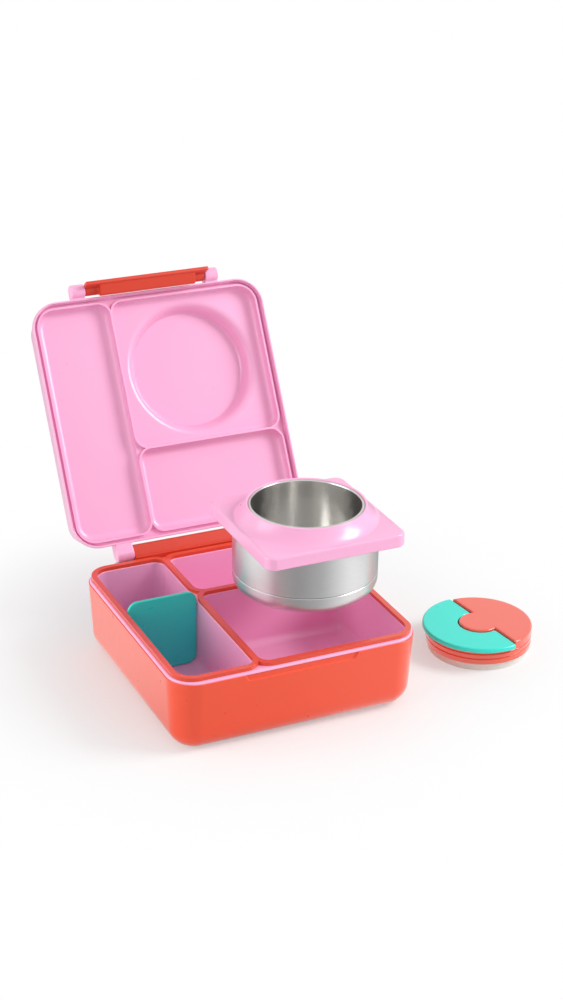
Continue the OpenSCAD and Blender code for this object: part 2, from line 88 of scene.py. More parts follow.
def card_group():
    """Strength of the room in a reflection: pale and dark cards around the table, by direction."""
    group = bpy.data.node_groups.new("room_cards", "ShaderNodeTree")
    group.interface.new_socket(name="Direction", in_out="INPUT", socket_type="NodeSocketVector")
    group.interface.new_socket(name="Strength", in_out="OUTPUT", socket_type="NodeSocketFloat")
    given = group.nodes.new("NodeGroupInput")
    result = group.nodes.new("NodeGroupOutput")
    split = node(group, "ShaderNodeSeparateXYZ")
    angle = node(group, "ShaderNodeMath", operation="ARCTAN2")
    around = node(group, "ShaderNodeMapRange")
    around.inputs["From Min"].default_value = -math.pi
    around.inputs["From Max"].default_value = math.pi
    cards = node(group, "ShaderNodeValToRGB")
    stops = [(-180, 0.8), (-145, 0.4), (-115, 0.32), (-85, 0.5), (-66, 0.8), (-50, 1.0),
             (-16, 1.0), (5, 0.6), (62, 0.12), (95, 0.5), (118, 1.0), (150, 1.0), (180, 0.8)]
    for degrees, value in stops[1:-1]:
        cards.color_ramp.elements.new((degrees + 180) / 360)
    for stop, (degrees, value) in zip(cards.color_ramp.elements, stops):
        stop.position = (degrees + 180) / 360
        stop.color = (value, value, value, 1)
    group.links.new(given.outputs[0], split.inputs[0])
    group.links.new(split.outputs["Y"], angle.inputs[0])
    group.links.new(split.outputs["X"], angle.inputs[1])
    group.links.new(angle.outputs[0], around.inputs["Value"])
    group.links.new(around.outputs["Result"], cards.inputs["Fac"])
    group.links.new(cards.outputs["Color"], result.inputs["Strength"])
    return group


room_cards = card_group()
bpy.ops.mesh.primitive_plane_add(size=14, location=(0, 0, 0))
table = bpy.context.object
table.name = "table_top"
paint = new_material("white_table")
tree = paint.node_tree
matte = node(tree, "ShaderNodeBsdfDiffuse", Color=(0.87, 0.905, 0.905, 1))
glow = node(tree, "ShaderNodeEmission", Color=(1, 1, 1, 1), Strength=1.0)
path = node(tree, "ShaderNodeLightPath")
place = node(tree, "ShaderNodeTexCoord")
reach = node(tree, "ShaderNodeVectorMath", operation="DISTANCE")
reach.inputs[1].default_value = (0.03, 0.03, 0)
fade = node(tree, "ShaderNodeMapRange", interpolation_type="SMOOTHSTEP")
fade.inputs["From Min"].default_value = 0.12
fade.inputs["From Max"].default_value = 0.3
fade.inputs["To Min"].default_value = 0.38
share = node(tree, "ShaderNodeMath", operation="MULTIPLY")
blend = node(tree, "ShaderNodeMixShader")
tree.links.new(place.outputs["Object"], reach.inputs[0])
tree.links.new(reach.outputs["Value"], fade.inputs["Value"])
tree.links.new(fade.outputs["Result"], share.inputs[1])
tree.links.new(path.outputs["Is Camera Ray"], share.inputs[0])
cards = node(tree, "ShaderNodeGroup", node_tree=room_cards)
bright = node(tree, "ShaderNodeMix")
bright.inputs["A"].default_value = 1.0
lit = node(tree, "ShaderNodeMath", operation="MAXIMUM")
tree.links.new(place.outputs["Object"], cards.inputs[0])
tree.links.new(cards.outputs[0], bright.inputs["B"])
tree.links.new(path.outputs["Is Glossy Ray"], bright.inputs["Factor"])
tree.links.new(bright.outputs["Result"], glow.inputs["Strength"])
tree.links.new(share.outputs[0], lit.inputs[0])
tree.links.new(path.outputs["Is Glossy Ray"], lit.inputs[1])
tree.links.new(lit.outputs[0], blend.inputs[0])
tree.links.new(matte.outputs[0], blend.inputs[1])
tree.links.new(glow.outputs[0], blend.inputs[2])
tree.links.new(blend.outputs[0], node(tree, "ShaderNodeOutputMaterial").inputs["Surface"])
table.data.materials.append(paint)

room = bpy.data.worlds.new("white_room")
bpy.context.scene.world = room
room.use_nodes = True
tree = room.node_tree
tree.nodes.clear()
path = node(tree, "ShaderNodeLightPath")
place = node(tree, "ShaderNodeTexCoord")
cards = node(tree, "ShaderNodeGroup", node_tree=room_cards)
soften = node(tree, "ShaderNodeMapRange")
soften.inputs["To Min"].default_value = 0.85
soften.inputs["To Max"].default_value = 1.15
mirrored = node(tree, "ShaderNodeMix")
mirrored.inputs["A"].default_value = 0.6
level = node(tree, "ShaderNodeMix")
level.inputs["B"].default_value = 1.0
air = node(tree, "ShaderNodeBackground", Color=(1, 1, 1, 1))
tree.links.new(place.outputs["Generated"], cards.inputs[0])
tree.links.new(cards.outputs[0], soften.inputs["Value"])
tree.links.new(soften.outputs["Result"], mirrored.inputs["B"])
tree.links.new(path.outputs["Is Glossy Ray"], mirrored.inputs["Factor"])
tree.links.new(mirrored.outputs["Result"], level.inputs["A"])
tree.links.new(path.outputs["Is Camera Ray"], level.inputs["Factor"])
tree.links.new(level.outputs["Result"], air.inputs["Strength"])
tree.links.new(air.outputs[0], node(tree, "ShaderNodeOutputWorld").inputs["Surface"])


def soft_lamp(name, place, aim, size, power):
    """A square lamp that faces a point."""
    bpy.ops.object.light_add(type="AREA", location=place)
    lamp = bpy.context.object
    lamp.name = name
    lamp.rotation_euler = (Vector(aim) - Vector(place)).to_track_quat("-Z", "Y").to_euler()
    lamp.data.size = size
    lamp.data.energy = power


soft_lamp("lamp_right", (1.5, -0.75, 1.35), (0.02, 0.02, 0.08), 0.9, 28)
soft_lamp("lamp_left", (-1.6, 0.2, 0.5), (0, 0, 0.05), 1.2, 13)


# ---------------------------------------------------------------------------
# Base shell
# One deep coral plastic tub with leaning sides and a full round bottom edge,
# injection moulded, with a shallow pocket under the rim for the latch's hook.
# ---------------------------------------------------------------------------
mm = 0.001
coral = (0.93, 0.085, 0.03, 1)
shell_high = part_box("base_shell")[1]
half_x = shell_high[0] / mm
half_y = shell_high[1] / mm
shell_top = shell_high[2] / mm
corner_r = 21
side_lean = 2.4
bottom_r = 16
shell_wall = 2.2
pocket_half = 40.6
pocket_flare = 3
pocket_deep = 1.6
pocket_high = 4.8
same_point = 1e-6


def surface_group(name, **amounts):
    """A node group that takes a colour and amounts, and gives colour, roughness and normal."""
    group = bpy.data.node_groups.new(name, "ShaderNodeTree")
    sockets = [("Colour", "Color", "INPUT")] + [(key, "Float", "INPUT") for key in amounts]
    sockets += [("Colour", "Color", "OUTPUT"), ("Roughness", "Float", "OUTPUT"),
                ("Normal", "Vector", "OUTPUT")]
    for label, kind, way in sockets:
        socket = group.interface.new_socket(name=label, in_out=way, socket_type="NodeSocket" + kind)
        if label in amounts:
            socket.default_value = amounts[label]
    return group, group.nodes.new("NodeGroupInput"), group.nodes.new("NodeGroupOutput")


def math_of(group, operation, first, second=0):
    """The result of a math node; each value is a number or another node's output."""
    made = node(group, "ShaderNodeMath", operation=operation)
    for socket, value in zip(made.inputs, (first, second)):
        if isinstance(value, (int, float)):
            socket.default_value = value
        else:
            group.links.new(value, socket)
    return made.outputs[0]


def noise(group, place, scale, detail):
    """The strength of a noise texture at a place."""
    made = node(group, "ShaderNodeTexNoise", Scale=scale, Detail=detail)
    group.links.new(place, made.inputs["Vector"])
    return made.outputs["Fac"]


def give(group, given, result, shade, uneven, height, strength, distance):
    """Ends a surface group: shaded colour, uneven roughness and a bump."""
    tint = node(group, "ShaderNodeVectorMath", operation="SCALE")
    group.links.new(given.outputs["Colour"], tint.inputs[0])
    group.links.new(shade, tint.inputs["Scale"])
    group.links.new(tint.outputs[0], result.inputs["Colour"])
    rough = math_of(group, "ADD", uneven, given.outputs["Gloss"])
    group.links.new(rough, result.inputs["Roughness"])
    bump = node(group, "ShaderNodeBump", Strength=strength, Distance=distance)
    group.links.new(height, bump.inputs["Height"])
    group.links.new(bump.outputs["Normal"], result.inputs["Normal"])


def moulded_group():
    """Moulded plastic: faint cloudy colour, uneven gloss, fine grain and slow sink marks."""
    group, given, result = surface_group("moulded_surface", Cloud=0.03, Gloss=0.3, Grain=0.1)
    place = node(group, "ShaderNodeTexCoord").outputs["Object"]
    cloud = math_of(group, "SUBTRACT", noise(group, place, 14, 2), 0.5)
    shade = math_of(group, "MULTIPLY", cloud, given.outputs["Cloud"])
    patches = math_of(group, "SUBTRACT", noise(group, place, 160, 4), 0.5)
    fine = math_of(group, "MULTIPLY", noise(group, place, 2400, 2), given.outputs["Grain"])
    slow = math_of(group, "MULTIPLY", noise(group, place, 26, 1), 1.2)
    give(group, given, result, math_of(group, "ADD", shade, 1.0),
         math_of(group, "MULTIPLY", patches, 0.12), math_of(group, "ADD", fine, slow), 0.5, 0.0002)
    return group


moulded_surface = moulded_group()


def surface_material(name, group, colour, shading, **amounts):
    """A material whose surface group feeds one shader, and that shader."""
    material = new_material(name)
    tree = material.node_tree
    surface = node(tree, "ShaderNodeGroup", node_tree=group, Colour=colour, **amounts)
    shader = node(tree, "ShaderNodeBsdfPrincipled", **shading)
    for given, taken in (("Colour", "Base Color"), ("Roughness", "Roughness"), ("Normal", "Normal")):
        tree.links.new(surface.outputs[given], shader.inputs[taken])
    tree.links.new(shader.outputs[0], node(tree, "ShaderNodeOutputMaterial").inputs["Surface"])
    return material, shader


def moulded_material(name, colour, gloss=0.3, coat=0.4, cloud=0.05, grain=0.1, sheen=0.15):
    """Coloured plastic or silicone with the moulded surface and its own gloss."""
    shading = {"IOR": 1.5, "Coat Weight": coat, "Coat Roughness": 0.12,
               "Sheen Weight": sheen, "Sheen Roughness": 0.35}
    return surface_material(name, moulded_surface, colour, shading,
                            Cloud=cloud, Gloss=gloss, Grain=grain)[0]


def pick(kind, test):
    """Selects the vertices, edges or faces of the piece in edit mode that pass a test."""
    bpy.context.tool_settings.mesh_select_mode = [kind == k for k in ("VERT", "EDGE", "FACE")]
    mesh = bmesh.from_edit_mesh(bpy.context.object.data)
    for part in (*mesh.verts, *mesh.edges, *mesh.faces):
        part.select_set(False)
    for part in {"VERT": mesh.verts, "EDGE": mesh.edges, "FACE": mesh.faces}[kind]:
        if test(part):
            part.select_set(True)
    bmesh.update_edit_mesh(bpy.context.object.data)


def only(piece):
    """Leaves edit mode and selects one piece alone."""
    if bpy.context.object and bpy.context.object.mode == "EDIT":
        bpy.ops.object.mode_set(mode="OBJECT")
    bpy.ops.object.select_all(action="DESELECT")
    piece.select_set(True)
    bpy.context.view_layer.objects.active = piece


def added(name, scale=(1, 1, 1)):
    """Names the piece just added and applies its place, turn and scale."""
    piece = bpy.context.object
    piece.name = piece.data.name = name
    piece.scale = scale
    bpy.ops.object.transform_apply(location=True, rotation=True, scale=True)
    return piece


def put(piece, turn, spot):
    """Turns a piece about the world's centre, moves it by metres and applies both."""
    only(piece)
    piece.rotation_euler = turn
    piece.location = spot
    bpy.ops.object.transform_apply(location=True, rotation=True, scale=True)


def outline(name, area, radii, height, facets=12):
    """A flat face with a radius at each corner, in edit mode with the face selected."""
    bpy.ops.object.select_all(action="DESELECT")
    x0, x1, y0, y1 = (value * mm for value in area)
    spot = ((x0 + x1) / 2, (y0 + y1) / 2, height * mm)
    bpy.ops.mesh.primitive_plane_add(size=1, location=spot)
    piece = added(name, (x1 - x0, y1 - y0, 1))
    bpy.ops.object.mode_set(mode="EDIT")
    for corner, radius in zip(((x0, y0), (x1, y0), (x1, y1), (x0, y1)), radii):
        pick("VERT", lambda v: (v.co.xy - Vector(corner)).length < same_point)
        bpy.ops.mesh.bevel(offset=radius * mm, segments=facets, affect="VERTICES", profile=0.5)
    bpy.ops.mesh.select_all(action="SELECT")
    return piece


def arc(inward, height, radius, start, end, parts=8):
    """Points of a round stretch of a profile; the angles are in degrees."""
    turns = [math.radians(start + (end - start) * i / parts) for i in range(parts + 1)]
    return [(inward + radius * math.cos(a), height + radius * math.sin(a)) for a in turns]


def follow(profile):
    """Draws the selected face in along a profile of (distance inward, height) points."""
    for (in_0, z_0), (in_1, z_1) in zip(profile, profile[1:]):
        bpy.ops.mesh.inset(thickness=(in_1 - in_0) * mm, depth=(z_1 - z_0) * mm)


def modify(piece, kind, **settings):
    """Adds a modifier with its settings and applies it."""
    only(piece)
    bpy.ops.object.modifier_add(type=kind)
    modifier = piece.modifiers[-1]
    for key, value in settings.items():
        setattr(modifier, key, value)
    bpy.ops.object.modifier_apply(modifier=modifier.name)


def combine(piece, tool, operation):
    """Cuts a tool out of a piece, or unites the two, and removes the tool."""
    modify(piece, "BOOLEAN", object=tool, operation=operation, solver="EXACT")
    bpy.data.objects.remove(tool)


def round_off(piece, width, parts=3, angle=50):
    """Rounds every edge of a piece that is sharper than an angle."""
    modify(piece, "BEVEL", width=width * mm, segments=parts, limit_method="ANGLE",
           angle_limit=math.radians(angle), use_clamp_overlap=True, miter_outer="MITER_ARC")


def dress(piece, material, angle=38):
    """Smooth shading that keeps flat faces flat, and the piece's one material."""
    only(piece)
    bpy.ops.object.shade_smooth_by_angle(angle=math.radians(angle))
    modify(piece, "WEIGHTED_NORMAL", keep_sharp=True)
    piece.data.materials.clear()
    piece.data.materials.append(material)


def face_outwards(piece, gap=0.001):
    """Merges points closer than a gap and turns every face of a closed piece outwards."""
    only(piece)
    bpy.ops.object.mode_set(mode="EDIT")
    bpy.ops.mesh.select_all(action="SELECT")
    bpy.ops.mesh.remove_doubles(threshold=gap * mm)
    bpy.ops.mesh.normals_make_consistent(inside=False)
    bpy.ops.object.mode_set(mode="OBJECT")


def bar(name, corner_a, corner_b, edge, parts=3):
    """A rounded bar between two corners."""
    bpy.ops.object.select_all(action="DESELECT")
    low = [min(a, b) * mm for a, b in zip(corner_a, corner_b)]
    high = [max(a, b) * mm for a, b in zip(corner_a, corner_b)]
    middle = [(a + b) / 2 for a, b in zip(low, high)]
    bpy.ops.mesh.primitive_cube_add(size=1, location=middle)
    piece = added(name, [b - a for a, b in zip(low, high)])
    if edge:
        round_off(piece, edge, parts)
    return piece


coral_plastic = moulded_material("coral_plastic", coral, coat=0.2, sheen=0.6)

box_area = (-half_x, half_x, -half_y, half_y)
foot = side_lean + bottom_r
shell = outline("shell_moulding", box_area, [corner_r] * 4, shell_top, 16)
follow([(0, shell_top)] + arc(foot, bottom_r, bottom_r, 180, 270, 12))
bpy.ops.mesh.select_all(action="SELECT")
bpy.ops.mesh.flip_normals()
modify(shell, "SOLIDIFY", thickness=shell_wall * mm, offset=-1, use_even_offset=True)
pocket = bar("hook_pocket", (-pocket_half, -half_y - 6, shell_top - pocket_high),
             (pocket_half, -half_y + pocket_deep, shell_top + 0.4), 0)
bpy.ops.object.mode_set(mode="EDIT")
pick("VERT", lambda v: v.co.z > shell_top * mm)
spread = 1 + pocket_flare / pocket_half
bpy.ops.transform.resize(value=(spread, 1, 1), center_override=(0, 0, 0))
combine(shell, pocket, "DIFFERENCE")
round_off(shell, 0.5, 3, 60)
dress(shell, coral_plastic)
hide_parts("base_shell")
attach(shell, "base")


# ---------------------------------------------------------------------------
# Compartment tray
# One pink moulding with a round-edged rim that closes the shell, and three
# deep compartments with rounded floors. It is pressed into the shell.
# ---------------------------------------------------------------------------
pink = (0.98, 0.45, 0.7, 1)
tray_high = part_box("inner_tray")[1]
rim_top = tray_high[2] / mm
floor_top = 7.6
rim_width = 7.2
rim_step = half_x - tray_high[0] / mm
rim_r = 1.3
tray_wall = 1.5
tray_foot_r = 9
half_wall = 2.6
wall_x = -30.5
wall_y = 25.6
outer_r = 12
inner_r = 7.5
floor_r = 7
mouth_r = 0.5
mouth_gap = 0.2
inner_x = half_x - rim_width
inner_y = half_y - rim_width
long_space = (-inner_x, wall_x - half_wall, -inner_y, inner_y)
back_space = (wall_x + half_wall, inner_x, wall_y + half_wall, inner_y)
square_space = (wall_x + half_wall, inner_x, -inner_y, wall_y - half_wall)
spaces = {
    "long": (long_space, (outer_r, inner_r, inner_r, outer_r)),
    "back": (back_space, (inner_r, inner_r, outer_r, inner_r)),
    "square": (square_space, (inner_r, outer_r, inner_r, inner_r)),
}


def grown(area, gap):
    """An area with each side moved out by a gap."""
    return (area[0] - gap, area[1] + gap, area[2] - gap, area[3] + gap)


def space_outline(name, space, gap, height, facets=12):
    """The outline of a compartment, moved out by a gap."""
    area, radii = spaces[space]
    return outline(name, grown(area, gap), [r + gap for r in radii], height, facets)


def join(pieces):
    """Joins pieces into the first one."""
    only(pieces[0])
    for piece in pieces:
        piece.select_set(True)
    bpy.ops.object.join()
    return pieces[0]


def is_level(edge, height):
    """Whether an edge lies flat at a height."""
    return all(abs(v.co.z - height * mm) < same_point for v in edge.verts)


def fill_level(piece, height):
    """Closes the flat area between the open edges that lie at one height."""
    only(piece)
    bpy.ops.object.mode_set(mode="EDIT")
    pick("EDGE", lambda e: len(e.link_faces) < 2 and is_level(e, height))
    bpy.ops.mesh.fill(use_beauty=True)
    bpy.ops.object.mode_set(mode="OBJECT")


pink_plastic = moulded_material("pink_plastic", pink)

rim_area = grown(box_area, -rim_step)
rim_corner = corner_r - rim_step
rim = outline("tray_moulding", rim_area, [rim_corner] * 4, shell_top, 16)
follow([(0, shell_top)] + arc(rim_r, rim_top - rim_r, rim_r, 180, 90, 5))
bpy.ops.mesh.delete(type="ONLY_FACE")
bpy.ops.object.mode_set(mode="OBJECT")
parts = [rim]
for space in spaces:
    mouth = mouth_gap + mouth_r
    pan = space_outline("pan_" + space, space, mouth, rim_top)
    follow([(0, rim_top)] + arc(mouth_gap, rim_top - mouth_r, mouth_r, 90, 0, 3)
           + arc(mouth + floor_r, floor_top + floor_r, floor_r, 180, 270, 8))
    bpy.ops.object.mode_set(mode="OBJECT")
    parts.append(pan)
under = outline("tray_under", rim_area, [rim_corner] * 4, shell_top, 16)
under_in = rim_width - tray_wall - rim_step
follow([(0, shell_top), (under_in, shell_top)]
       + arc(under_in + tray_foot_r, floor_top - tray_wall + tray_foot_r, tray_foot_r, 180, 270, 8))
bpy.ops.object.mode_set(mode="OBJECT")
tray = join(parts)
fill_level(tray, rim_top)
tray = join([tray, under])
face_outwards(tray)
dress(tray, pink_plastic)
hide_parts("inner_tray")
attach(tray, "base")


# ---------------------------------------------------------------------------
# Seal
# A soft red silicone bead that stands on the rim around every compartment
# and shares one bead over each middle wall, open at the T of the walls.
# ---------------------------------------------------------------------------
seal_red = (0.8, 0.07, 0.025, 1)
seal_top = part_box("compartment_seal")[1][2] / mm
seal_land = 0.5
seal_width = 4
seal_edge = 1.7
seal_merge = 0.15


def slab(name, space, gap, low, high):
    """A compartment's outline as a block from one height to another."""
    piece = space_outline(name, space, gap, low)
    bpy.ops.mesh.extrude_region_move(TRANSFORM_OT_translate={"value": (0, 0, (high - low) * mm)})
    bpy.ops.object.mode_set(mode="OBJECT")
    face_outwards(piece)
    return piece


def bead(name, gap, width, low, high):
    """Closed loops around the compartments, joined over the middle walls, with an open T."""
    piece = slab(name, "long", gap + width, low, high)
    for space in ("back", "square"):
        combine(piece, slab("bead_" + space, space, gap + width, low, high), "UNION")
    side = long_space[1] + gap
    reach = inner_r + gap + width
    notch = bar("bead_notch", (side - 0.1, wall_y - reach, low - 1),
                (side + width + 2 * half_wall, wall_y + reach, high + 1), 0)
    for space in ("back", "square"):
        combine(notch, slab("keep_" + space, space, gap + width, low - 2, high + 2), "DIFFERENCE")
    combine(piece, notch, "DIFFERENCE")
    for space in spaces:
        combine(piece, slab("core_" + space, space, gap, low - 2, high + 2), "DIFFERENCE")
    face_outwards(piece, seal_merge)
    return piece


def soften_rim(piece, height, width, parts):
    """Rounds the edges between a piece's walls and its flat face at a height."""
    only(piece)
    bpy.ops.object.mode_set(mode="EDIT")
    pick("EDGE", lambda e: is_level(e, height) and any(abs(f.normal.z) < 0.5 for f in e.link_faces))
    bpy.ops.mesh.bevel(offset=width * mm, segments=parts, affect="EDGES", clamp_overlap=True)
    bpy.ops.object.mode_set(mode="OBJECT")


red_silicone = moulded_material("red_silicone", seal_red, gloss=0.32, coat=0.5, grain=0.2)

seal = bead("seal_bead", seal_land, seal_width, rim_top, seal_top)
soften_rim(seal, seal_top, seal_edge, 6)
dress(seal, red_silicone)
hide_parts("compartment_seal")
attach(seal, "base")


# ---------------------------------------------------------------------------
# Hinge bar
# A red plastic bar across the back of the base with a round barrel for the
# hinge pin and two low bosses for the handle pins. It is snapped to the shell.
# ---------------------------------------------------------------------------
red = (0.7, 0.04, 0.01, 1)
joints = {joint["name"]: joint for joint in frame["joints"]}
hinge_y, hinge_z = (value / mm for value in joints["lid_hinge"]["pos_m"][1:])
handle_y, handle_z = (value / mm for value in joints["handle_pivot"]["pos_m"][1:])
bar_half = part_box("hinge_bar")[1][0] / mm
barrel_r = 5.6
boss_r = 4.4
boss_long = 8


def lug(name, x0, x1, centre, radius, reach, low, high, edge=0.8):
    """A bar along X with a round side at its pin and a flat side that reaches a wall."""
    bpy.ops.object.select_all(action="DESELECT")
    spot = (x0 * mm, centre[0] * mm, centre[1] * mm)
    bpy.ops.mesh.primitive_circle_add(vertices=64, radius=radius * mm, fill_type="NGON",
                                      location=spot, rotation=(0, math.pi / 2, 0))
    piece = added(name)
    side = 1 if reach > centre[0] else -1
    bpy.ops.object.mode_set(mode="EDIT")
    for above, level in ((True, high), (False, low)):
        pick("VERT", lambda v: (v.co.y - spot[1]) * side > same_point
             and ((v.co.z >= spot[2]) == above))
        bpy.ops.transform.resize(value=(1, 0, 0), center_override=(spot[0], reach * mm, level * mm))
    bpy.ops.mesh.select_all(action="SELECT")
    bpy.ops.mesh.remove_doubles(threshold=same_point)
    bpy.ops.mesh.select_all(action="SELECT")
    bpy.ops.mesh.extrude_region_move(TRANSFORM_OT_translate={"value": ((x1 - x0) * mm, 0, 0)})
    bpy.ops.object.mode_set(mode="OBJECT")
    face_outwards(piece)
    if edge:
        round_off(piece, edge, 4, 40)
    return piece


red_plastic = moulded_material("red_plastic", red, gloss=0.34, coat=0.2, sheen=0.1)

bar_back = half_y + 0.02
barrel = lug("hinge_bar_moulding", -bar_half, bar_half, (hinge_y, hinge_z), barrel_r,
             bar_back, rim_top - 0.5, rim_top + 4, 0.8)
web = bar("hinge_web", (-bar_half, bar_back, handle_z - boss_r - 2),
          (bar_half, bar_back + 3, hinge_z - 1), 0.8)
combine(barrel, web, "UNION")
for side in (-1, 1):
    near, far = side * (bar_half - boss_long), side * bar_half
    boss = lug("handle_boss", min(near, far), max(near, far), (handle_y, handle_z), boss_r,
               bar_back + 1, handle_z - boss_r, handle_z + boss_r, 0.5)
    combine(barrel, boss, "UNION")
dress(barrel, red_plastic)
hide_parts("hinge_bar")
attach(barrel, "base")


# ---------------------------------------------------------------------------
# Carrying handle
# A teal moulded U: two flat legs on pins beside the hinge bar and a round
# grip between them, folded down behind the base.
# ---------------------------------------------------------------------------
teal = (0.01, 0.8, 0.66, 1)
leg_wide = 13.5
leg_thick = 5.6
grip_r = 5.4
leg_y = handle_y - boss_r


def corners(name):
    """The low and high corner of a CAD piece, in millimetres."""
    return [Vector(corner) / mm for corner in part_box(name)]


def rod(name, x0, x1, centre, radius, edge=0.8, sides=64):
    """A round rod along X with rounded ends."""
    bpy.ops.object.select_all(action="DESELECT")
    spot = ((x0 + x1) / 2 * mm, centre[0] * mm, centre[1] * mm)
    bpy.ops.mesh.primitive_cylinder_add(vertices=sides, radius=radius * mm,
                                        depth=(x1 - x0) * mm, location=spot,
                                        rotation=(0, math.pi / 2, 0))
    piece = added(name)
    if edge:
        round_off(piece, edge, 4, 50)
    return piece


teal_plastic = moulded_material("teal_plastic", teal)

handle_low, handle_high = corners("carry_handle")
handle_x = handle_high[0]
grip_z = handle_low[2] + grip_r
handle = rod("handle_moulding", -handle_x, handle_x, (leg_y + leg_thick / 2, grip_z), grip_r, 3)
for side in (-1, 1):
    inner, outer = side * (handle_x - leg_wide), side * handle_x
    leg = bar("leg", (inner, leg_y, grip_z), (outer, leg_y + leg_thick, handle_z), 1.6, 4)
    combine(handle, leg, "UNION")
    eye = rod("eye", min(inner, outer), max(inner, outer), (handle_y, handle_z), boss_r, 1.2)
    combine(handle, eye, "UNION")
modify(handle, "REMESH", mode="VOXEL", voxel_size=0.8 * mm)
modify(handle, "SMOOTH", factor=0.5, iterations=6)
dress(handle, teal_plastic, 60)
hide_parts("carry_handle")
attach(handle, "handle")


# ---------------------------------------------------------------------------
# Divider
# A thin teal plate that stands across the long compartment, with round top
# corners. It is pushed in and held by the compartment's walls.
# ---------------------------------------------------------------------------
div_low, div_high = corners("divider_plate")
div_top_r = 8
div_foot_r = 7.5

divider = outline("divider", (div_low[0], div_high[0], div_low[2], div_high[2]),
                  (div_foot_r, div_foot_r, div_top_r, div_top_r), 0, 10)
thick = div_high[1] - div_low[1]
bpy.ops.mesh.extrude_region_move(TRANSFORM_OT_translate={"value": (0, 0, thick * mm)})
put(divider, (math.pi / 2, 0, 0), (0, div_high[1] * mm, 0))
face_outwards(divider)
round_off(divider, 0.9, 4, 60)
dress(divider, teal_plastic)
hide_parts("divider_plate")
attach(divider, "divider")


# ---------------------------------------------------------------------------
# Food jar: collar
# A square pink plastic collar with a round neck that sweeps up out of it.
# It is bonded to the steel body and seats on the tray's rim.
# ---------------------------------------------------------------------------
collar_low, collar_high = corners("jar_collar")
jar_x = (collar_low[0] + collar_high[0]) / 2
jar_y = (collar_low[1] + collar_high[1]) / 2
jar_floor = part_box("jar_base_cap")[0][2] / mm
collar_z = collar_low[2]
collar_top = collar_z + 10
neck_top = collar_high[2]
hole_r = 41.5
neck_wall = 2
neck_foot_r = 52.5
neck_sweep_power = 1.6
neck_steps = 14
lip_in_r = 0.8
lip_out_r = 0.7
collar_corner = 7.5
collar_edge = 2
under_r = 1.2


def trace(name, points):
    """A chain of edges through points, in edit mode with the whole chain selected."""
    bpy.ops.object.select_all(action="DESELECT")
    bpy.ops.mesh.primitive_plane_add(size=mm, location=[value * mm for value in points[0]])
    piece = added(name)
    bpy.ops.object.mode_set(mode="EDIT")
    bpy.ops.mesh.select_mode(type="VERT")
    bpy.ops.mesh.merge(type="CENTER")
    for start, end in zip(points, points[1:]):
        step = [(b - a) * mm for a, b in zip(start, end)]
        bpy.ops.mesh.extrude_vertices_move(TRANSFORM_OT_translate={"value": step})
    bpy.ops.mesh.select_all(action="SELECT")
    return piece


def turned(name, profile, centre, steps=128):
    """A round piece: the profile of (radius, height) points is drawn and spun about its axis."""
    piece = trace(name, [(centre[0] + radius, centre[1], height) for radius, height in profile])
    bpy.ops.mesh.spin(steps=steps, angle=2 * math.pi, axis=(0, 0, 1),
                      center=(centre[0] * mm, centre[1] * mm, 0))
    bpy.ops.object.mode_set(mode="OBJECT")
    face_outwards(piece)
    return piece


collar_area = (collar_low[0], collar_high[0], collar_low[1], collar_high[1])
top_face = outline("collar_moulding", collar_area, [collar_corner] * 4, collar_z + collar_edge)
follow([(0, collar_z + collar_edge)]
       + arc(collar_edge, collar_top - collar_edge, collar_edge, 180, 90, 6)
       + [(collar_edge + 0.1, collar_top)])
bpy.ops.mesh.delete(type="ONLY_FACE")
bpy.ops.object.mode_set(mode="OBJECT")
under_face = outline("collar_under", collar_area, [collar_corner] * 4, collar_z + collar_edge)
follow([(0, collar_z + collar_edge)] + arc(under_r, collar_z + under_r, under_r, 180, 270, 5))
bpy.ops.mesh.delete(type="ONLY_FACE")
bpy.ops.object.mode_set(mode="OBJECT")
sweep = neck_foot_r - hole_r - neck_wall
rise = neck_top - lip_out_r - collar_top
neck_profile = [(hole_r, collar_z)] + arc(hole_r + lip_in_r, neck_top - lip_in_r, lip_in_r, 180, 90, 3)
neck_profile += arc(hole_r + neck_wall - lip_out_r, neck_top - lip_out_r, lip_out_r, 90, 30, 2)
for i in range(neck_steps + 1):
    left = 1 - i / neck_steps
    neck_profile.append((neck_foot_r - sweep * left, collar_top + rise * left ** neck_sweep_power))
neck = turned("neck", neck_profile, (jar_x, jar_y))
collar = join([top_face, under_face, neck])
fill_level(collar, collar_top)
fill_level(collar, collar_z)
face_outwards(collar)
dress(collar, pink_plastic, 45)
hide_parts("jar_collar")
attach(collar, "jar")


# ---------------------------------------------------------------------------
# Food jar: steel body
# Three spun steel pieces: the outer wall, the base cap welded to it at a
# raised seam, and the bowl inside with its rolled lip. All are satin brushed.
# ---------------------------------------------------------------------------
steel = (0.72, 0.72, 0.72, 1)
steel_wall = 1
jar_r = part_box("jar_outer_wall")[1][0] / mm - jar_x
seam_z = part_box("jar_base_cap")[1][2] / mm
base_r = 9
shoulder_z = collar_z - 0.1


